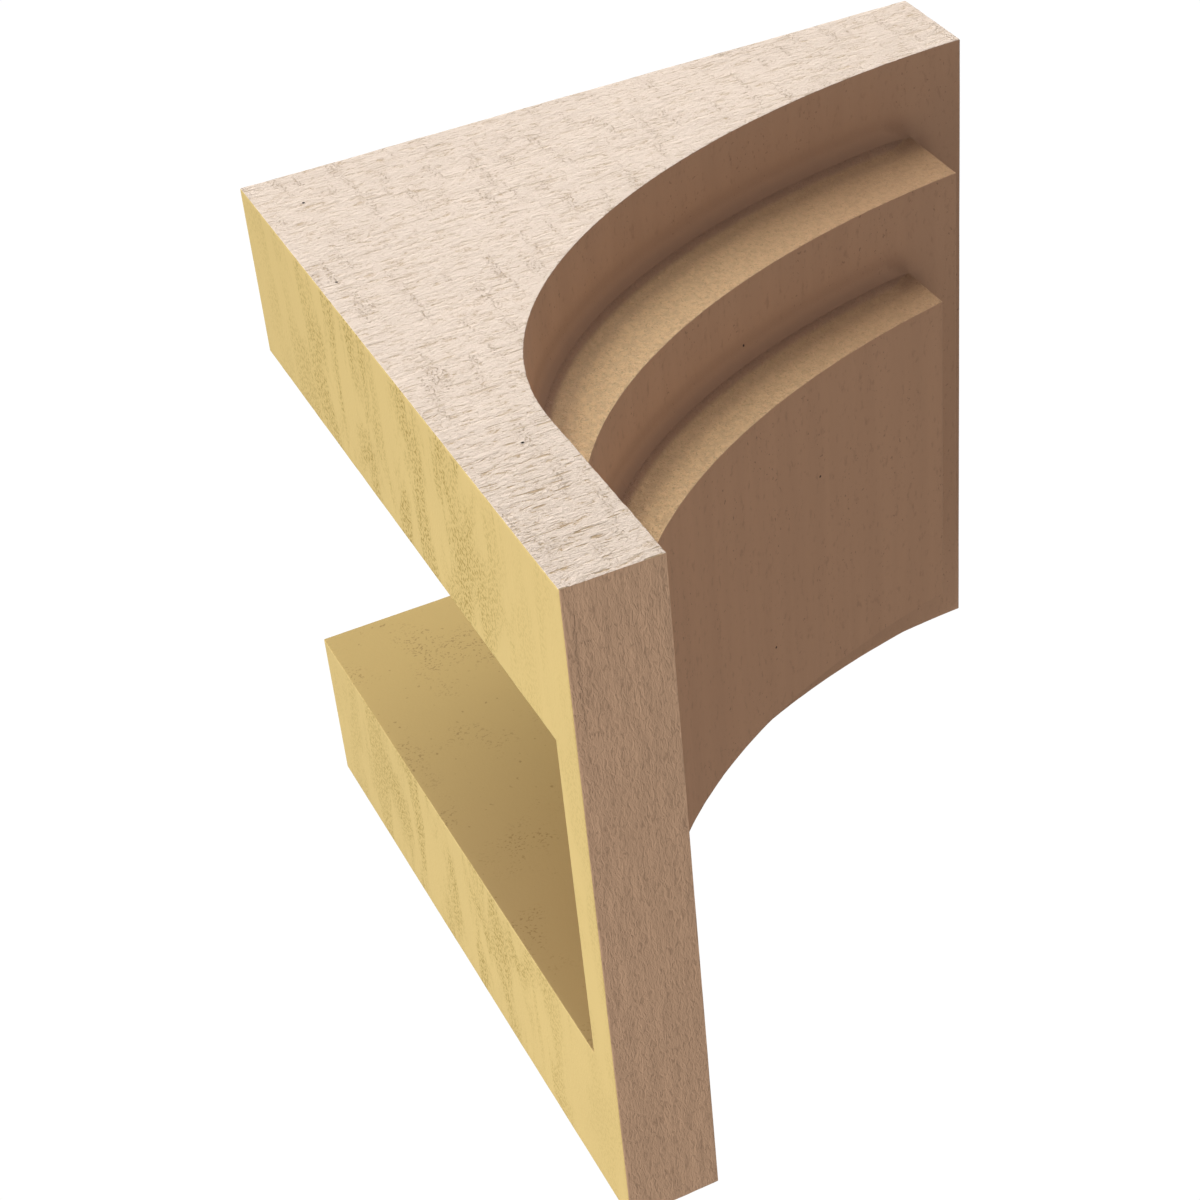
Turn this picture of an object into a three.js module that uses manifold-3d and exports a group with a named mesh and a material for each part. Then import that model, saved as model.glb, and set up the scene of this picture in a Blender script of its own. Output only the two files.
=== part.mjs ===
// A hollow corbel whose concave front steps forward twice towards the middle of its width.
// Frame, in millimetres: the wall is the plane y = 0 and the corbel projects towards -y, x runs across its
// width and z is up. The origin is the middle of the end wall's strip of back face, where it meets the wall.
import * as THREE from "three";
import { mergeVertices } from "three/addons/utils/BufferGeometryUtils.js";
import Module from "manifold-3d";

// Overall size
const WIDTH = 304.8;
const DEPTH = 304.8;
const HEIGHT = 304.8;

// The leg that lies flat against the wall, below the curves
const LEG_THICKNESS = 38.1;

// Each tier of the front is narrower by SIDE_STEP at both sides, and ends SET_BACK further from the tip.
const SIDE_STEP = 38.1;
const SET_BACK = 25.4;

// A tier's underside is an arc of an ellipse. It leaves the leg, as its tangent, FOOT_RISE above the bottom
// end, and stops at the tier's own end, TIP_DROP below the top. Its centre lies OVERRUN beyond that end.
const FIRST_TIP_DROP = 45.7;
const FIRST_FOOT_RISE = 90.2;
const FIRST_OVERRUN = 13;
const SECOND_TIP_DROP = 84.3;
const SECOND_FOOT_RISE = 44.7;
const SECOND_OVERRUN = 56.4;
const THIRD_TIP_DROP = 115.3;
const THIRD_FOOT_RISE = 7.1;
const THIRD_OVERRUN = 106.7;
const TIERS = [
  { tipDrop: FIRST_TIP_DROP, footRise: FIRST_FOOT_RISE, overrun: FIRST_OVERRUN },
  { tipDrop: SECOND_TIP_DROP, footRise: SECOND_FOOT_RISE, overrun: SECOND_OVERRUN },
  { tipDrop: THIRD_TIP_DROP, footRise: THIRD_FOOT_RISE, overrun: THIRD_OVERRUN },
];

// The hollow is open at the back and the top. It is as wide as the last tier, keeps FRONT_WALL behind the
// underside and the end of the tier before that, and END_WALL closes it at the bottom end.
const FRONT_WALL = 19.05;
const END_WALL = 19.05;

// Straight facets along each tier's arc, and how far a cutting solid runs past the faces that it opens
const ARC_STEPS = 64;
const PAST_FACE = 10;

const LAST_TIER = TIERS.length - 1;
const HOLLOW_BEHIND = LAST_TIER - 1;

const wasm = await Module();
wasm.setup();

// A closed geometry as a solid that can be joined and cut.
function solidFrom(geometry) {
  const bare = geometry.index ? geometry.toNonIndexed() : geometry.clone();
  bare.deleteAttribute("normal");
  bare.deleteAttribute("uv");
  const merged = mergeVertices(bare);
  const mesh = new wasm.Mesh({
    numProp: 3,
    vertProperties: merged.attributes.position.array,
    triVerts: new Uint32Array(merged.index.array),
  });
  return new wasm.Manifold(mesh);
}

// A solid as a geometry with flat-shaded faces.
function geometryFrom(solid) {
  const { vertProperties, triVerts } = solid.getMesh();
  const shared = new THREE.BufferGeometry();
  shared.setAttribute("position", new THREE.BufferAttribute(vertProperties, 3));
  shared.setIndex(new THREE.BufferAttribute(triVerts, 1));
  const faceted = shared.toNonIndexed();
  faceted.computeVertexNormals();
  return faceted;
}

// How far the tier's end stands from the wall, and half of its width.
const reachOf = (index) => DEPTH - index * SET_BACK;
const halfWidthOf = (index) => WIDTH / 2 - index * SIDE_STEP;

// Points of the tier's underside from the leg to its end, in the side view: x away from the wall, y up from
// the bottom end. With inset they lie that far inside the material.
function undersideOf(index, inset = 0) {
  const { tipDrop, footRise, overrun } = TIERS[index];
  const reach = reachOf(index);
  const across = reach + overrun - LEG_THICKNESS;
  const centre = new THREE.Vector2(LEG_THICKNESS + across, footRise);
  const tip = new THREE.Vector2(reach - centre.x, HEIGHT - tipDrop - centre.y);
  const upward = tip.y / Math.sqrt(1 - (tip.x / across) ** 2);
  const tipAngle = Math.atan2(tip.y / upward, tip.x / across);
  const arc = new THREE.EllipseCurve(centre.x, centre.y, across, upward, Math.PI, tipAngle, true);
  return Array.from({ length: ARC_STEPS + 1 }, (_, step) => {
    const point = arc.getPoint(step / ARC_STEPS);
    const along = arc.getTangent(step / ARC_STEPS);
    return new THREE.Vector2(point.x - along.y * inset, point.y + along.x * inset);
  });
}

// A side view outline made as deep as 2 * halfWidth, set upright across the middle of the corbel.
function slab(outline, halfWidth) {
  const geometry = new THREE.ExtrudeGeometry(new THREE.Shape(outline), {
    depth: 2 * halfWidth,
    bevelEnabled: false,
  });
  const sideways = new THREE.Vector3(0, -1, 0);
  const upwards = new THREE.Vector3(0, 0, 1);
  const across = new THREE.Vector3(-1, 0, 0);
  geometry.applyMatrix4(new THREE.Matrix4().makeBasis(sideways, upwards, across));
  geometry.translate(halfWidth, 0, 0);
  return solidFrom(geometry);
}

// One tier of the front with all that is behind it, up to the wall and the top.
function tier(index) {
  const underside = undersideOf(index);
  const foot = underside[0];
  const lowest = index === 0 ? 0 : foot.y;
  const outline = [new THREE.Vector2(0, lowest)];
  if (foot.y > lowest) outline.push(new THREE.Vector2(LEG_THICKNESS, lowest));
  outline.push(...underside);
  outline.push(new THREE.Vector2(reachOf(index), HEIGHT), new THREE.Vector2(0, HEIGHT));
  return slab(outline, halfWidthOf(index));
}

// What the hollow takes out: all that lies behind the inset underside, down to the end wall.
function hollow() {
  const halfWidth = halfWidthOf(LAST_TIER);
  const behind = undersideOf(HOLLOW_BEHIND, FRONT_WALL);
  const above = HEIGHT + PAST_FACE;
  const curved = slab(
    [
      new THREE.Vector2(-PAST_FACE, -PAST_FACE),
      new THREE.Vector2(behind[0].x, -PAST_FACE),
      ...behind,
      new THREE.Vector2(behind[ARC_STEPS].x, above),
      new THREE.Vector2(-PAST_FACE, above),
    ],
    halfWidth,
  );
  const front = reachOf(HOLLOW_BEHIND) - FRONT_WALL;
  const ends = slab(
    [
      new THREE.Vector2(-PAST_FACE, END_WALL),
      new THREE.Vector2(front, END_WALL),
      new THREE.Vector2(front, above),
      new THREE.Vector2(-PAST_FACE, above),
    ],
    halfWidth,
  );
  return curved.intersect(ends);
}

const skin = new THREE.MeshStandardMaterial({
  name: "rough_sawn_skin",
  color: new THREE.Color().setRGB(0.85, 0.74, 0.64, THREE.SRGBColorSpace),
  roughness: 0.85,
  metalness: 0,
});

function corbel() {
  const tiers = TIERS.map((_, index) => tier(index));
  const solid = tiers.reduce((joined, next) => joined.add(next)).subtract(hollow());
  const mesh = new THREE.Mesh(geometryFrom(solid), skin);
  mesh.name = "corbel";
  mesh.position.z = -END_WALL / 2;
  return mesh;
}

const group = new THREE.Group();
group.add(corbel());

export default group;
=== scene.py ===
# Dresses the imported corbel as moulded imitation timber: rough-sawn sides, smoother stepped undersides, a
# bark-like bottom end, and bare yellow foam on the back, on the top and in the hollow.
# Metres, in the frame's axes: the wall is the plane y = 0, the corbel projects towards -y, z is up.
import math

import bmesh
import bpy
from mathutils import Matrix, Vector, noise
from mathutils.bvhtree import BVHTree


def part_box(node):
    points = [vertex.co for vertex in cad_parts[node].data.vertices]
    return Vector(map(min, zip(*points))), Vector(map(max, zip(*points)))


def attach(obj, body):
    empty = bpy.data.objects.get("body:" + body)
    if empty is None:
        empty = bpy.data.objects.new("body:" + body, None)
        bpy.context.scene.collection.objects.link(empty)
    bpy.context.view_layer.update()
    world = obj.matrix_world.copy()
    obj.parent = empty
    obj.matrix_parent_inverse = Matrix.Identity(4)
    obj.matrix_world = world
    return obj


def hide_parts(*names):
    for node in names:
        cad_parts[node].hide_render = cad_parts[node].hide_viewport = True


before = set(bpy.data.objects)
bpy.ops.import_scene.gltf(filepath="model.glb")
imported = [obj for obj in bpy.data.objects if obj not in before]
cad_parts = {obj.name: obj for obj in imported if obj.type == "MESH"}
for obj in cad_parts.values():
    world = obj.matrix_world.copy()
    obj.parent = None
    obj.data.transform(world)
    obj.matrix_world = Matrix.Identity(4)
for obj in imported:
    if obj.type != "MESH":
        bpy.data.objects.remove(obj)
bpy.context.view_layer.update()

MM = 0.001

# The photograph's camera. Its shift is the share of the image's width that the frame is moved by.
CAMERA_PLACE = Vector((-0.65069, 0.2305, -0.62456))
CAMERA_FORWARD = Vector((0.61133, -0.32665, 0.72082))
CAMERA_RIGHT = Vector((0.05826, -0.88979, -0.45263))
CAMERA_LENS = 79.108
CAMERA_SENSOR = 36.0
CAMERA_SHIFT = -0.08333

# The studio: a pale floor, two weak disk lights that face AIM, and one broad soft light in the sky
AIM = Vector((0, -0.12, 0.15))
FLOOR_SIZE = 12.0
FLOOR_HEIGHT = -1.2
FLOOR_COLOUR = (0.30, 0.28, 0.26)
FILL_SIZE = 1.2
FILL_COLOUR = (1.0, 0.97, 0.92)
BACK_PLACE = Vector((0.2, 1.8, -0.5))
BACK_POWER = 26.0
FRONT_PLACE = Vector((0.1, -1.6, -0.5))
FRONT_POWER = 1.2

# The sky is BRIGHT towards SOFT_KEY and DIM away from it, and changes between these cosines of the angle
# from it. The camera sees a white backdrop instead.
SOFT_KEY = Vector((-0.72, 0.1, 0.68))
KEY_EDGES = (0.6, 1.0)
DIM = (0.155, 0.155, 0.16)
BRIGHT = (4.2, 4.25, 4.35)
BACKDROP = (1.0, 1.0, 1.0)
BACKDROP_STRENGTH = 1.02

# The regions of the surface. Each has a material of its own, in this order.
SIDE, LEDGE, FRONT, END, FOAM, HOLLOW = range(6)

# Each region's cells, in millimetres along x, y and z
CELLS = {
    SIDE: (4.0, 3.2, 1.2),
    LEDGE: (4.0, 1.9, 1.9),
    FRONT: (2.9, 1.8, 1.8),
    END: (2.4, 1.3, 2.4),
    FOAM: (4.0, 4.0, 4.0),
    HOLLOW: (6.0, 6.0, 6.0),
}

# Each region's carved relief: its depth, and the size of its lumps along x, y and z, in millimetres
RELIEFS = {
    SIDE: (0.36, (20.0, 16.0, 3.2)),
    LEDGE: (0.12, (12.0, 7.0, 7.0)),
    FRONT: (0.20, (70.0, 8.0, 8.0)),
    END: (0.45, (16.0, 4.0, 12.0)),
    FOAM: (0.12, (60.0, 18.0, 16.0)),
    HOLLOW: (0.10, (40.0, 30.0, 30.0)),
}

# The relief is fractal noise of this falloff, this gap between octaves and this number of them
RELIEF_FALLOFF = 1.0
RELIEF_GAP = 2.0
RELIEF_OCTAVES = 3

# The tiers' half widths, and how far two of them stand out from the wall, in millimetres
FIRST_HALF_WIDTH = 152.4
SECOND_HALF_WIDTH = 114.3
THIRD_HALF_WIDTH = 76.2
SECOND_END = 279.4
THIRD_END = 254.0

# The coves that fill the inner corners round the second and the third tier. A cove reaches this many
# millimetres along both surfaces, but no further than this share of its tier's height, and it needs a corner
# that turns by a least angle.
COVED_TIERS = ((SECOND_HALF_WIDTH, SECOND_END), (THIRD_HALF_WIDTH, THIRD_END))
COVE_REACH = 11.0
COVE_SHARE = 0.75
COVE_LEAST_TURN = math.radians(45)

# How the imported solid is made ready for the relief. WELD, TOUCH and ON_FACE are the distances within which
# points are one, lie on a cut and lie on a face. SQUARE and LEANING are parts of a face's direction. Cuts lie
# LEVEL_PHASE of a cell off whole cells from the origin.
AXES = (Vector((1, 0, 0)), Vector((0, 1, 0)), Vector((0, 0, 1)))
WELD = 0.001 * MM
TOUCH = 0.0001 * MM
ON_FACE = 1 * MM
SQUARE = 0.9
LEANING = 0.1
FLAT_ANGLE = math.radians(0.2)
ARRIS_ANGLE = math.radians(25)
ARRIS_ROUNDING = 0.6 * MM
ARRIS_SEGMENTS = 2
ARRIS_PROFILE = 0.5
NEIGHBOURS_MATERIAL = -1
CREASE_ANGLE = math.radians(40)
LEVEL_PHASE = 0.37

# Textures are noise about MIDDLE, from 0 to 1, with lumps of these sizes along x, y and z in millimetres.
# EDGES are the two values between which a texture turns from 0 to 1 as a mask, and SPAN two places in
# millimetres between which something changes along an axis. Colours are linear red, green and blue.
MIDDLE = 0.5
TIMBER_ROUGHNESS = 0.8
FOAM_ROUGHNESS = 0.9

# Rough-sawn sides: short wrinkles across the height, long saw grooves that are deepest at the leg, and rows
# of torn ticks. Their low places and cuts take a darker tan as painted shade.
SIDE_COLOUR = (0.783, 0.645, 0.528)
# The darker tan of the painted shade in the sides' low places and cuts
SIDE_CAVITY_SHADE_COLOUR = (0.43, 0.28, 0.13)
SIDE_TONES = {"lumps": (60.0, 50.0, 22.0), "detail": 3}
SIDE_SPREAD = 0.05
SIDE_WRINKLES = {"lumps": (2.8, 1.8, 0.9), "detail": 4, "roughness": 0.7, "distortion": 0.9}
SIDE_RIDGES = {"lumps": (20.0, 8.0, 1.9), "detail": 3, "distortion": 0.9}
SIDE_LOW_EDGES = (0.95, 0.72)
SIDE_LOW_SHARE = 0.85
SIDE_LEG_SPAN = (150.0, 20.0)
SIDE_FAR_RELIEF = 0.75
GROOVES = {"lumps": (20.0, 11.0, 1.4), "detail": 1, "distortion": 0.4}
GROOVE_EDGES = (0.36, 0.29)
FAR_GROOVES = 0.4
TORN_ROWS = {"lumps": (30.0, 6.0, 28.0)}
TORN_EDGES = (0.52, 0.68)
TICKS = {"lumps": (2.0, 0.9, 1.3), "distortion": 0.5}
TICK_EDGES = (0.47, 0.36)
TICK_SHARE = 0.7
CUT_DEPTH = 0.45
CUT_SHADE = 0.8
SIDE_BUMP = 1.2

# Ledges: sandy grain, paler towards the leg; their darker tip is painted shade from the tier above. In the
# cove, as the surface turns from the width, they take the undersides' colour with its painted shade. The
# edges of a cove are parts of the surface's direction along the width.
LEDGE_LEG_COLOUR = (0.98, 0.675, 0.36)
LEDGE_TIP_COLOUR = (0.65, 0.397, 0.211)
LEDGE_SPAN = (-60.0, -260.0)
LEDGE_COVE_EDGES = (0.998, 0.84)
LEDGE_MOTTLE = {"lumps": (6.0, 3.0, 3.0), "detail": 3, "roughness": 0.6}
LEDGE_MOTTLE_EDGES = (0.6, 0.35)
LEDGE_MOTTLE_STAIN = 0.2
LEDGE_GRAIN = {"lumps": (1.9, 1.5, 1.5), "detail": 3, "roughness": 0.65, "distortion": 1.2}
LEDGE_GRAIN_EDGES = (0.50, 0.34)
LEDGE_GRAIN_STAIN = 0.4
LEDGE_DARK_COLOUR = (0.33, 0.19, 0.095)
LEDGE_BUMP = 1.5

# Undersides: smooth, with faint bands across the width and a few dark specks, and darker towards the tip as
# painted shade. Painted shade darkens them within CORNER_REACH of an inner corner, by how open the surface is
# there, and most at the middle of a cove.
FRONT_LEG_COLOUR = (0.665, 0.386, 0.231)
FRONT_TIP_COLOUR = (0.527, 0.32, 0.204)
FRONT_SPAN = (60.0, 270.0)
FRONT_DARK_COLOUR = (0.30, 0.17, 0.11)
FRONT_BANDS = {"lumps": (170.0, 9.0, 9.0), "detail": 3}
FRONT_BAND_EDGES = (0.3, 0.7)
FRONT_BAND_STAIN = 0.1
FRONT_GRAIN = {"lumps": (5.0, 2.4, 2.4), "detail": 3, "roughness": 0.6}
FRONT_GRAIN_EDGES = (0.45, 0.25)
FRONT_GRAIN_STAIN = 0.3
FRONT_SPECKS = {"lumps": (1.7, 1.4, 1.4), "detail": 1}
FRONT_SPECK_EDGES = (0.34, 0.25)
FRONT_PATCHES = {"lumps": (50.0, 14.0, 14.0)}
FRONT_PATCH_EDGES = (0.44, 0.60)
FRONT_SPECK_STAIN = 0.7
FRONT_COVE_EDGES = (0.1, 0.7)
# Painted shade in inner corners and coves
CORNER_REACH = 20.0
CORNER_EDGES = (0.97, 0.70)
CORNER_SHADE = 0.7
COVE_MIDDLE_EDGES = (0.95, 0.72)
COVE_MIDDLE_SHADE = 0.8
FRONT_BUMP = 0.14

# Bottom end: bark-like, with a crack near the wall that is darkened inside as painted shade. A crack runs
# along one axis at a place on another.
END_COLOUR = (0.60, 0.39, 0.255)
END_DARK_COLOUR = (0.34, 0.21, 0.135)
END_TONES = {"lumps": (50.0, 9.0, 12.0), "detail": 3}
END_SPREAD = 0.06
END_BARK = {"lumps": (3.8, 1.4, 5.0), "detail": 3, "roughness": 0.58, "distortion": 0.8}
END_BARK_EDGES = (0.48, 0.30)
END_BARK_STAIN = 0.5
END_BUMP = 0.5
CRACKS = (
    {"along": "X", "span": (-142.0, -91.0), "across": "Y", "place": -4.4},
    {"along": "Y", "span": (-10.5, -4.5), "across": "X", "place": -128.5},
    {"along": "Y", "span": (-9.5, -5.0), "across": "X", "place": -90.0},
)
CRACK_EDGES = (0.9, 0.1)
CRACK_TAPER = 3.0
CRACK_WAVER = 4.0
CRACK_SHADE = 0.4
CRACK_DEPTH = 0.3

# Back and top: yellow foam, with bands of fine olive dots that are thickest at half height
FOAM_COLOUR = (0.64, 0.484, 0.193)
FOAM_DOT_COLOUR = (0.38, 0.27, 0.07)
FOAM_TONES = {"lumps": (70.0, 40.0, 40.0), "detail": 3}
FOAM_SPREAD = 0.05
FOAM_DOTS = {"lumps": (1.7, 1.5, 1.3), "detail": 1, "roughness": 0.6}
FOAM_DOT_EDGES = (0.50, 0.43)
FOAM_DOT_STAIN = 0.95
FOAM_BANDS = {"lumps": (70.0, 15.0, 19.0), "detail": 3, "roughness": 0.6, "distortion": 0.6}
FOAM_BAND_EDGES = (0.43, 0.60)
FOAM_BAND_STAIN = 0.12
FOAM_FOOT_SPAN = (20.0, 90.0)
FOAM_HEAD_SPAN = (300.0, 190.0)
FOAM_FAR_DOTS = 0.25
FOAM_BUMP = 0.12

# Hollow: the same foam darkened as painted shade, darkest at the foot and lighter towards the open top, with
# clusters of dots and scattered drops
HOLLOW_FOOT_COLOUR = (0.365, 0.248, 0.097)
HOLLOW_TOP_COLOUR = (0.443, 0.313, 0.108)
HOLLOW_SPAN = (60.0, 270.0)
HOLLOW_DOT_COLOUR = (0.22, 0.135, 0.04)
HOLLOW_DOTS = {"lumps": (1.1, 1.4, 1.1), "detail": 1, "roughness": 0.6}
HOLLOW_DOT_EDGES = (0.42, 0.33)
HOLLOW_CLUSTERS = {"lumps": (34.0, 30.0, 30.0), "detail": 3}
HOLLOW_CLUSTER_EDGES = (0.50, 0.64)
HOLLOW_DROPS = {"lumps": (2.6, 2.6, 2.6), "detail": 1}
HOLLOW_DROP_EDGES = (0.28, 0.20)
HOLLOW_DOT_STAIN = 0.65
HOLLOW_BUMP = 0.1

# Pinholes that air bubbles left in the skin, painted near black inside as shade: the radii of their rim and
# floor, and their places, in millimetres
PIT_SHADE_COLOUR = (0.05, 0.03, 0.02)
PIT_RADII = (0.75, 0.375)
PITS = {
    SIDE: (
        (-FIRST_HALF_WIDTH, -17.7, 269.8),
        (-FIRST_HALF_WIDTH, -7.4, 205.9),
        (-FIRST_HALF_WIDTH, -23.7, 71.5),
    ),
    LEDGE: ((-SECOND_HALF_WIDTH, -261.7, 244.4),),
    FRONT: ((-85.9, -161.5, 180.3), (-27.0, -182.6, 158.7), (40.3, -151.5, 144.7)),
}


def region_of(face, lowest, highest):
    """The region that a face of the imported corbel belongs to"""
    centre = face.calc_center_median()
    normal = face.normal
    outward = normal.x * centre.x > 0
    if abs(normal.x) > SQUARE:
        if not outward:
            return HOLLOW
        return SIDE if abs(centre.x) > highest.x - ON_FACE else LEDGE
    if centre.y > highest.y - ON_FACE or centre.z > highest.z - ON_FACE:
        return FOAM
    if normal.y > LEANING or normal.z > LEANING:
        return HOLLOW
    return END if centre.z < lowest.z + ON_FACE else FRONT


def corbel_with_rounded_arrises():
    """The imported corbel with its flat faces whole, its regions named and its outer edges rounded"""
    solid = bmesh.new()
    solid.from_mesh(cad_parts["corbel"].data)
    bmesh.ops.remove_doubles(solid, verts=solid.verts, dist=WELD)
    bmesh.ops.dissolve_limit(solid, angle_limit=FLAT_ANGLE, verts=solid.verts, edges=solid.edges)
    solid.normal_update()
    lowest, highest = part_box("corbel")
    for face in solid.faces:
        face.material_index = region_of(face, lowest, highest)
    arrises = [edge for edge in solid.edges if edge.is_convex and edge.calc_face_angle() > ARRIS_ANGLE]
    bmesh.ops.bevel(
        solid,
        geom=arrises,
        offset=ARRIS_ROUNDING,
        segments=ARRIS_SEGMENTS,
        profile=ARRIS_PROFILE,
        affect="EDGES",
        material=NEIGHBOURS_MATERIAL,
    )
    solid.normal_update()
    return solid


def highest_of(face, axis):
    return max(vert.co[axis] for vert in face.verts)


def lowest_of(face, axis):
    return min(vert.co[axis] for vert in face.verts)


def split_at(faces, axis, place):
    """Splits the faces where they cross one plane and returns all of their parts"""
    for face in faces:
        for edge in face.edges:
            start, end = (vert.co[axis] for vert in edge.verts)
            if min(start, end) < place - TOUCH and max(start, end) > place + TOUCH:
                share = (place - start) / (end - start)
                vert = bmesh.utils.edge_split(edge, edge.verts[0], share)[1]
                vert.co[axis] = place
    parts = []
    for face in faces:
        along = AXES[axis].cross(face.normal)
        ends = [vert for vert in face.verts if abs(vert.co[axis] - place) <= TOUCH]
        ends.sort(key=lambda vert: vert.co.dot(along))
        pieces = [face]
        for first, second in zip(ends[::2], ends[1::2]):
            whole = next(piece for piece in pieces if {first, second} <= set(piece.verts))
            pieces.append(bmesh.utils.face_split(whole, first, second)[0])
        parts += pieces
    return parts


def cut_across(faces, axis, spacing):
    """Cuts the faces by evenly spaced planes across one axis and returns all of their parts"""
    waiting = sorted(faces, key=lambda face: lowest_of(face, axis), reverse=True)
    top = max(highest_of(face, axis) for face in faces)
    level = math.floor(lowest_of(waiting[-1], axis) / spacing) + LEVEL_PHASE
    done = []
    rest = []
    while level * spacing < top:
        place = level * spacing
        while waiting and lowest_of(waiting[-1], axis) < place:
            rest.append(waiting.pop())
        crossed = [face for face in rest if highest_of(face, axis) > place + TOUCH]
        done += [face for face in rest if highest_of(face, axis) <= place + TOUCH]
        parts = split_at(crossed, axis, place)
        rest = [face for face in parts if highest_of(face, axis) > place + TOUCH]
        done += [face for face in parts if highest_of(face, axis) <= place + TOUCH]
        level += 1
    return done + rest + waiting


def cut_into_cells(solid):
    """Cuts each region's faces across the two axes that they extend along"""
    groups = {}
    for face in solid.faces:
        faced = max(range(3), key=lambda axis: abs(face.normal[axis]))
        groups.setdefault((face.material_index, faced), []).append(face)
    for (region, faced), faces in groups.items():
        for axis in range(3):
            if axis != faced:
                faces = cut_across(faces, axis, CELLS[region][axis] * MM)


def points_of(faces):
    """The faces' points, each once and always in the same order"""
    return list(dict.fromkeys(vert for face in faces for vert in face.verts))


def tree_of(faces):
    """The faces as a tree that finds the nearest point on them"""
    verts = points_of(faces)
    numbers = {vert: number for number, vert in enumerate(verts)}
    polygons = [[numbers[vert] for vert in face.verts] for face in faces]
    return BVHTree.FromPolygons([vert.co for vert in verts], polygons)


def faces_round(solid, half_width, tier_end):
    """The walls of one tier, the underside inside them and the undersides outside them"""
    walls, inside, outside = [], [], []
    for face in solid.faces:
        centre = face.calc_center_median()
        at_end = abs(centre.y + tier_end) < ON_FACE and face.normal.y < -SQUARE
        if face.material_index == LEDGE and abs(abs(centre.x) - half_width) < ON_FACE:
            walls.append(face)
        elif face.material_index == FRONT and at_end:
            walls.append(face)
        elif face.material_index == FRONT:
            within = abs(centre.x) < half_width and centre.y > -tier_end
            (inside if within else outside).append(face)
    return walls, inside, outside


def direction_at(vert, faces):
    """The direction that the given faces face at a point of theirs"""
    return sum((face.normal for face in vert.link_faces if face in faces), Vector()).normalized()


def onto_cove(distance, reach, turn, away, outward):
    """The move of a point onto the cove, along its surface and out of it. The point lies this far from the
    corner, at which the surface turns by this angle."""
    radius = reach / math.tan(turn / 2)
    angle = turn / 2 * (1 - distance / reach)
    along = reach - radius * math.sin(angle) - distance
    return away * along + outward * radius * (1 - math.cos(angle))


def cove(solid, half_width, tier_end):
    """Moves the points near the inner corner round one tier onto a cove that fills the corner"""
    solid.normal_update()
    walls, inside, outside = faces_round(solid, half_width, tier_end)
    lower_edge = tree_of(inside)
    moves = {}
    for faces, others in ((walls, outside), (outside, walls)):
        own, across = set(faces), set(others)
        nearest = tree_of(others)
        for vert in points_of(faces):
            corner, sideways, _, distance = nearest.find_nearest(vert.co, COVE_REACH * MM)
            if corner is None:
                continue
            outward = direction_at(vert, own)
            away = vert.co - corner
            if not across.isdisjoint(vert.link_faces):
                distance = 0.0
                sideways = direction_at(vert, across)
                away = sideways - outward * outward.dot(sideways)
            _, _, _, height = lower_edge.find_nearest(corner)
            reach = min(COVE_REACH * MM, height * COVE_SHARE)
            turn = outward.angle(sideways)
            if distance < reach and turn > COVE_LEAST_TURN:
                moves[vert] = onto_cove(distance, reach, turn, away.normalized(), outward)
    for vert, move in moves.items():
        vert.co += move


def relief_at(place, region):
    """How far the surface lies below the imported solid's"""
    depth, lumps = RELIEFS[region]
    scaled = Vector([place[axis] / (lumps[axis] * MM) for axis in range(3)])
    height = noise.fractal(
        scaled, RELIEF_FALLOFF, RELIEF_GAP, RELIEF_OCTAVES, noise_basis="PERLIN_ORIGINAL"
    )
    return depth * MM * min(max((1 - height) / 2, 0.0), 1.0)


def carve(solid):
    """Moves every point in by its region's relief"""
    solid.normal_update()
    moves = []
    for vert in solid.verts:
        region = min(face.material_index for face in vert.link_faces)
        moves.append(vert.normal * -relief_at(vert.co, region))
    for vert, move in zip(solid.verts, moves):
        vert.co += move


def sawn_corbel():
    """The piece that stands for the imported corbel"""
    solid = corbel_with_rounded_arrises()
    cut_into_cells(solid)
    for half_width, tier_end in COVED_TIERS:
        cove(solid, half_width * MM, tier_end * MM)
    carve(solid)
    for face in solid.faces:
        face.smooth = True
    for edge in solid.edges:
        edge.smooth = edge.calc_face_angle(0.0) < CREASE_ANGLE
    mesh = bpy.data.meshes.new("sawn_corbel")
    solid.to_mesh(mesh)
    solid.free()
    for material in (side_skin(), ledge_skin(), front_skin(), end_skin(), back_foam(), hollow_foam()):
        mesh.materials.append(material)
    piece = bpy.data.objects.new("sawn_corbel", mesh)
    bpy.context.scene.collection.objects.link(piece)
    even = piece.modifiers.new("even_shading", "WEIGHTED_NORMAL")
    even.keep_sharp = True
    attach(piece, "root")
    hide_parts("corbel")


def opaque(colour):
    """A colour with its alpha, or another node's output as it is"""
    return colour if isinstance(colour, bpy.types.NodeSocket) else (*colour, 1)


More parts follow.
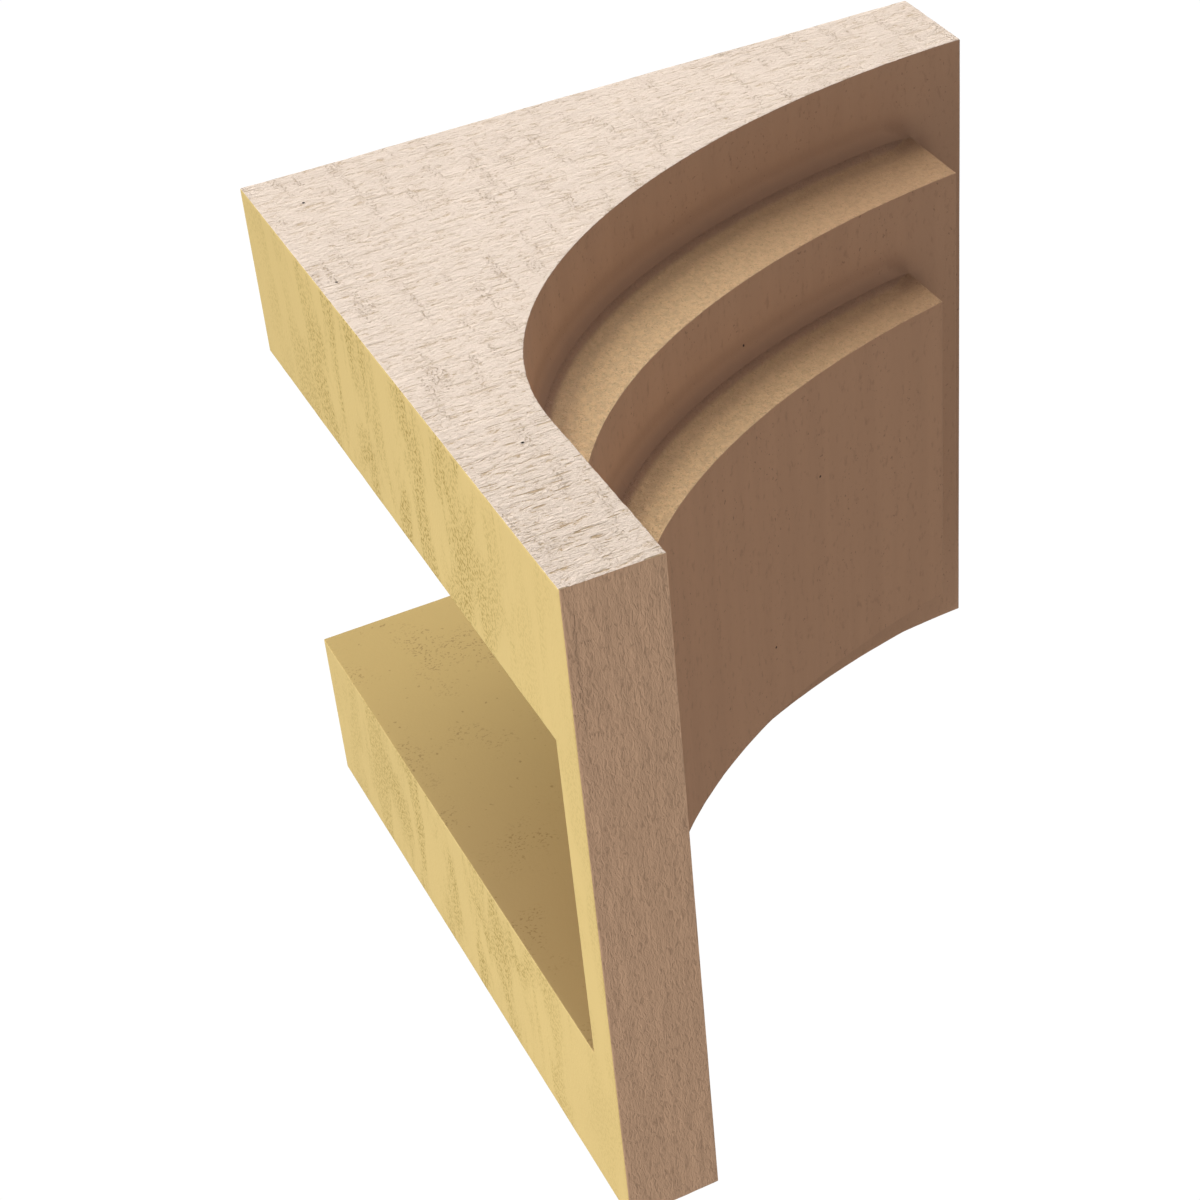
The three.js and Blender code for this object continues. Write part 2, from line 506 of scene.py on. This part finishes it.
class Nodes:
    """A node tree, with short ways to add nodes to it. Values may be numbers or other nodes' outputs."""

    def __init__(self, tree):
        self.tree = tree

    def node(self, kind, inputs, **settings):
        made = self.tree.nodes.new(kind)
        for name, value in settings.items():
            setattr(made, name, value)
        for name, value in inputs.items():
            if isinstance(value, bpy.types.NodeSocket):
                self.tree.links.new(value, made.inputs[name])
            else:
                made.inputs[name].default_value = value
        return made

    def step(self, value, edges, results=(0.0, 1.0)):
        """The smooth change from the first result to the second as the value goes from edge to edge"""
        inputs = {
            "Value": value,
            "From Min": edges[0],
            "From Max": edges[1],
            "To Min": results[0],
            "To Max": results[1],
        }
        return self.node("ShaderNodeMapRange", inputs, interpolation_type="SMOOTHSTEP").outputs[0]

    def math(self, operation, first, second):
        return self.node("ShaderNodeMath", {0: first, 1: second}, operation=operation).outputs[0]

    def times(self, first, second):
        return self.math("MULTIPLY", first, second)

    def greatest(self, first, *others):
        """The greatest of several values"""
        for other in others:
            first = self.math("MAXIMUM", first, other)
        return first

    def mix(self, factor, first, second):
        """A colour between two colours"""
        inputs = {"Factor": factor, "A": opaque(first), "B": opaque(second)}
        return self.node("ShaderNodeMix", inputs, data_type="RGBA").outputs["Result"]


class Surface(Nodes):
    """A material of the corbel"""

    def __init__(self, name, roughness):
        self.material = bpy.data.materials.new(name)
        self.material.use_nodes = True
        super().__init__(self.material.node_tree)
        self.shader = self.tree.nodes["Principled BSDF"]
        self.shader.inputs["Roughness"].default_value = roughness
        coordinates = self.tree.nodes.new("ShaderNodeTexCoord").outputs
        self.place = coordinates["Object"]
        self.normal = coordinates["Normal"]
        self.apart = self.node("ShaderNodeSeparateXYZ", {"Vector": self.place}).outputs

    def noise(self, lumps, detail=2, roughness=0.5, distortion=0.0):
        """A texture's value"""
        scale = tuple(1 / (size * MM) for size in lumps)
        stretched = self.node("ShaderNodeMapping", {"Vector": self.place, "Scale": scale})
        inputs = {
            "Vector": stretched.outputs[0],
            "Scale": 1.0,
            "Detail": detail,
            "Roughness": roughness,
            "Distortion": distortion,
        }
        return self.node("ShaderNodeTexNoise", inputs).outputs[0]

    def mask(self, texture, edges):
        return self.step(self.noise(**texture), edges)

    def along(self, axis, span, results=(0.0, 1.0)):
        """The smooth change between two places along an axis"""
        return self.step(self.apart[axis], (span[0] * MM, span[1] * MM), results)

    def toned(self, colour, texture, spread):
        """The colour, a little lighter and darker by the texture"""
        lighter = tuple(value * (1 + spread) for value in colour)
        darker = tuple(value * (1 - spread) for value in colour)
        return self.mix(self.noise(**texture), lighter, darker)

    def crack(self, along, span, across, place, waver):
        """How much of a crack there is at each point, from 0 to 1. It wavers with the given height."""
        start, end = span
        shift = self.times(self.math("SUBTRACT", waver, MIDDLE), CRACK_WAVER * MM)
        line = self.math("SUBTRACT", self.math("ADD", self.apart[across], shift), place * MM)
        off = self.math("ABSOLUTE", line, 0.0)
        width = self.step(off, (CRACK_EDGES[0] * MM, CRACK_EDGES[1] * MM))
        begun = self.along(along, (start - CRACK_TAPER, start + CRACK_TAPER))
        unended = self.along(along, (end + CRACK_TAPER, end - CRACK_TAPER))
        return self.times(width, self.times(begun, unended))

    def corner(self):
        """Painted shade near an inner corner, by how open the surface is there"""
        inputs = {"Distance": CORNER_REACH * MM}
        openness = self.node("ShaderNodeAmbientOcclusion", inputs).outputs["AO"]
        return self.step(openness, CORNER_EDGES, (0.0, CORNER_SHADE))

    def in_cove(self, edges, darkening=1.0):
        """How far into a cove each point lies, up to the given amount, by how much of the surface's direction
        lies along the width. It weighs the cove's painted shade and change of colour.
        """
        width_part = self.node("ShaderNodeSeparateXYZ", {"Vector": self.normal}).outputs["X"]
        return self.step(self.math("ABSOLUTE", width_part, 0.0), edges, (0.0, darkening))

    def pits(self, pits):
        """How much of a pinhole there is at each point, from 0 to 1"""
        rim, floor = (radius * MM for radius in PIT_RADII)
        nearest = rim
        for pit in pits:
            centre = tuple(value * MM for value in pit)
            away = self.node("ShaderNodeVectorMath", {0: self.place, 1: centre}, operation="DISTANCE")
            nearest = self.math("MINIMUM", away.outputs["Value"], nearest)
        return self.step(nearest, (rim, floor))

    def finish(self, colour, height, depth, pits=()):
        """Joins the colour and the height, where 1 is the depth in millimetres, to the shader"""
        # Painted shade: pinholes turn near black inside
        pit = self.pits(pits)
        colour = self.mix(pit, colour, PIT_SHADE_COLOUR)
        height = self.math("SUBTRACT", height, pit)
        inputs = {"Height": height, "Distance": depth * MM, "Strength": 1.0}
        bump = self.node("ShaderNodeBump", inputs)
        self.tree.links.new(bump.outputs[0], self.shader.inputs["Normal"])
        self.tree.links.new(colour, self.shader.inputs["Base Color"])
        return self.material


def side_skin():
    surface = Surface("side_skin", TIMBER_ROUGHNESS)
    relief = surface.math("ADD", surface.noise(**SIDE_WRINKLES), surface.noise(**SIDE_RIDGES))
    strength = surface.along("Z", SIDE_LEG_SPAN, (SIDE_FAR_RELIEF, 1.0))
    low = surface.step(relief, SIDE_LOW_EDGES, (0.0, SIDE_LOW_SHARE))
    grooves = surface.mask(GROOVES, GROOVE_EDGES)
    grooves = surface.times(grooves, surface.along("Z", SIDE_LEG_SPAN, (FAR_GROOVES, 1.0)))
    ticks = surface.times(surface.mask(TICKS, TICK_EDGES), surface.mask(TORN_ROWS, TORN_EDGES))
    cuts = surface.greatest(grooves, surface.times(ticks, TICK_SHARE))
    # Painted shade: the relief's low places and the cuts turn a darker tan
    darkening = surface.greatest(surface.times(low, strength), surface.times(cuts, CUT_SHADE))
    base = surface.toned(SIDE_COLOUR, SIDE_TONES, SIDE_SPREAD)
    colour = surface.mix(darkening, base, SIDE_CAVITY_SHADE_COLOUR)
    height = surface.math("SUBTRACT", surface.times(relief, strength), surface.times(cuts, CUT_DEPTH))
    return surface.finish(colour, height, SIDE_BUMP, PITS[SIDE])


def underside_colour(surface, darkening):
    # Painted shade: the undersides are darker towards the tip, and the darkening takes them towards
    # FRONT_DARK_COLOUR
    base = surface.mix(surface.along("Z", FRONT_SPAN), FRONT_LEG_COLOUR, FRONT_TIP_COLOUR)
    return surface.mix(darkening, base, FRONT_DARK_COLOUR)


def ledge_skin():
    surface = Surface("ledge_skin", TIMBER_ROUGHNESS)
    mottle = surface.noise(**LEDGE_MOTTLE)
    grain = surface.noise(**LEDGE_GRAIN)
    darkening = surface.greatest(
        surface.step(mottle, LEDGE_MOTTLE_EDGES, (0.0, LEDGE_MOTTLE_STAIN)),
        surface.step(grain, LEDGE_GRAIN_EDGES, (0.0, LEDGE_GRAIN_STAIN)),
    )
    # Painted shade: the ledge darkens towards the tip, where the tier above shades it
    base = surface.mix(surface.along("Y", LEDGE_SPAN), LEDGE_LEG_COLOUR, LEDGE_TIP_COLOUR)
    outer = surface.mix(darkening, base, LEDGE_DARK_COLOUR)
    # Painted shade near the inner corner and at the middle of the cove, in the undersides' darker colour
    corner = surface.corner()
    middle = surface.in_cove(COVE_MIDDLE_EDGES, COVE_MIDDLE_SHADE)
    inner = underside_colour(surface, surface.greatest(corner, middle))
    colour = surface.mix(surface.greatest(corner, surface.in_cove(LEDGE_COVE_EDGES)), outer, inner)
    return surface.finish(colour, surface.math("ADD", grain, mottle), LEDGE_BUMP, PITS[LEDGE])


def front_skin():
    surface = Surface("front_skin", TIMBER_ROUGHNESS)
    grain = surface.noise(**FRONT_GRAIN)
    bands = surface.step(surface.noise(**FRONT_BANDS), FRONT_BAND_EDGES, (0.0, FRONT_BAND_STAIN))
    grained = surface.step(grain, FRONT_GRAIN_EDGES, (0.0, FRONT_GRAIN_STAIN))
    patches = surface.mask(FRONT_PATCHES, FRONT_PATCH_EDGES)
    specks = surface.times(surface.mask(FRONT_SPECKS, FRONT_SPECK_EDGES), patches)
    # Real bands, grain and specks, with painted shade near inner corners and in the coves
    darkening = surface.greatest(
        surface.math("ADD", bands, grained),
        surface.times(specks, FRONT_SPECK_STAIN),
        surface.corner(),
        surface.in_cove(FRONT_COVE_EDGES, COVE_MIDDLE_SHADE),
    )
    return surface.finish(underside_colour(surface, darkening), grain, FRONT_BUMP, PITS[FRONT])


def end_skin():
    surface = Surface("end_skin", TIMBER_ROUGHNESS)
    bark = surface.noise(**END_BARK)
    cracks = surface.greatest(*(surface.crack(waver=bark, **crack) for crack in CRACKS))
    darkening = surface.step(bark, END_BARK_EDGES, (0.0, END_BARK_STAIN))
    # Painted shade inside the cracks
    darkening = surface.greatest(darkening, surface.times(cracks, CRACK_SHADE))
    base = surface.toned(END_COLOUR, END_TONES, END_SPREAD)
    colour = surface.mix(darkening, base, END_DARK_COLOUR)
    height = surface.math("SUBTRACT", bark, surface.times(cracks, CRACK_DEPTH))
    return surface.finish(colour, height, END_BUMP)


def back_foam():
    surface = Surface("back_foam", FOAM_ROUGHNESS)
    dots = surface.noise(**FOAM_DOTS)
    foot = surface.along("Z", FOAM_FOOT_SPAN, (FOAM_FAR_DOTS, 1.0))
    head = surface.along("Z", FOAM_HEAD_SPAN, (FOAM_FAR_DOTS, 1.0))
    bands = surface.times(surface.mask(FOAM_BANDS, FOAM_BAND_EDGES), surface.times(foot, head))
    dotted = surface.times(surface.step(dots, FOAM_DOT_EDGES, (0.0, FOAM_DOT_STAIN)), bands)
    darkening = surface.greatest(dotted, surface.times(bands, FOAM_BAND_STAIN))
    base = surface.toned(FOAM_COLOUR, FOAM_TONES, FOAM_SPREAD)
    return surface.finish(surface.mix(darkening, base, FOAM_DOT_COLOUR), dots, FOAM_BUMP)


def hollow_foam():
    surface = Surface("hollow_foam", FOAM_ROUGHNESS)
    dots = surface.noise(**HOLLOW_DOTS)
    clusters = surface.mask(HOLLOW_CLUSTERS, HOLLOW_CLUSTER_EDGES)
    clustered = surface.times(surface.step(dots, HOLLOW_DOT_EDGES), clusters)
    darkening = surface.greatest(clustered, surface.mask(HOLLOW_DROPS, HOLLOW_DROP_EDGES))
    # Painted shade: the hollow's foam is darker than the back's, and darkest at the foot
    base = surface.mix(surface.along("Z", HOLLOW_SPAN), HOLLOW_FOOT_COLOUR, HOLLOW_TOP_COLOUR)
    colour = surface.mix(surface.times(darkening, HOLLOW_DOT_STAIN), base, HOLLOW_DOT_COLOUR)
    return surface.finish(colour, dots, HOLLOW_BUMP)


def add_fill(name, place, power):
    data = bpy.data.lights.new(name, "AREA")
    data.shape = "DISK"
    data.size = FILL_SIZE
    data.energy = power
    data.color = FILL_COLOUR
    light = bpy.data.objects.new(name, data)
    light.location = place
    light.rotation_euler = (AIM - place).to_track_quat("-Z", "Y").to_euler()
    bpy.context.scene.collection.objects.link(light)


def add_camera():
    data = bpy.data.cameras.new("photo_camera")
    data.lens = CAMERA_LENS
    data.sensor_width = CAMERA_SENSOR
    data.shift_x = CAMERA_SHIFT
    camera = bpy.data.objects.new("photo_camera", data)
    forward = CAMERA_FORWARD.normalized()
    right = (CAMERA_RIGHT - forward * CAMERA_RIGHT.dot(forward)).normalized()
    up = right.cross(forward)
    turn = Matrix((right, up, -forward)).transposed().to_4x4()
    camera.matrix_world = Matrix.Translation(CAMERA_PLACE) @ turn
    bpy.context.scene.collection.objects.link(camera)
    bpy.context.scene.camera = camera


def add_sky():
    """The broad soft light, and a white backdrop that the camera alone sees"""
    world = bpy.data.worlds.new("studio")
    bpy.context.scene.world = world
    world.use_nodes = True
    sky = Nodes(world.node_tree)
    where = sky.node("ShaderNodeTexCoord", {}).outputs["Generated"]
    inputs = {0: where, 1: SOFT_KEY.normalized()}
    towards = sky.node("ShaderNodeVectorMath", inputs, operation="DOT_PRODUCT").outputs["Value"]
    light = sky.tree.nodes["Background"]
    sky.tree.links.new(sky.mix(sky.step(towards, KEY_EDGES), DIM, BRIGHT), light.inputs["Color"])
    inputs = {"Color": opaque(BACKDROP), "Strength": BACKDROP_STRENGTH}
    backdrop = sky.node("ShaderNodeBackground", inputs)
    camera_ray = sky.node("ShaderNodeLightPath", {}).outputs["Is Camera Ray"]
    inputs = {0: camera_ray, 1: light.outputs[0], 2: backdrop.outputs[0]}
    chosen = sky.node("ShaderNodeMixShader", inputs)
    sky.tree.links.new(chosen.outputs[0], sky.tree.nodes["World Output"].inputs[0])


def add_floor():
    bpy.ops.mesh.primitive_plane_add(size=FLOOR_SIZE, location=(0, 0, FLOOR_HEIGHT))
    floor = bpy.context.object
    floor.name = "floor"
    material = bpy.data.materials.new("pale_floor")
    material.use_nodes = True
    material.node_tree.nodes["Principled BSDF"].inputs["Base Color"].default_value = opaque(FLOOR_COLOUR)
    floor.data.materials.append(material)


add_camera()
sawn_corbel()
add_floor()
add_fill("back_fill", BACK_PLACE, BACK_POWER)
add_fill("front_fill", FRONT_PLACE, FRONT_POWER)
add_sky()
bpy.context.scene.view_settings.view_transform = "Standard"
bpy.context.scene.view_settings.look = "None"
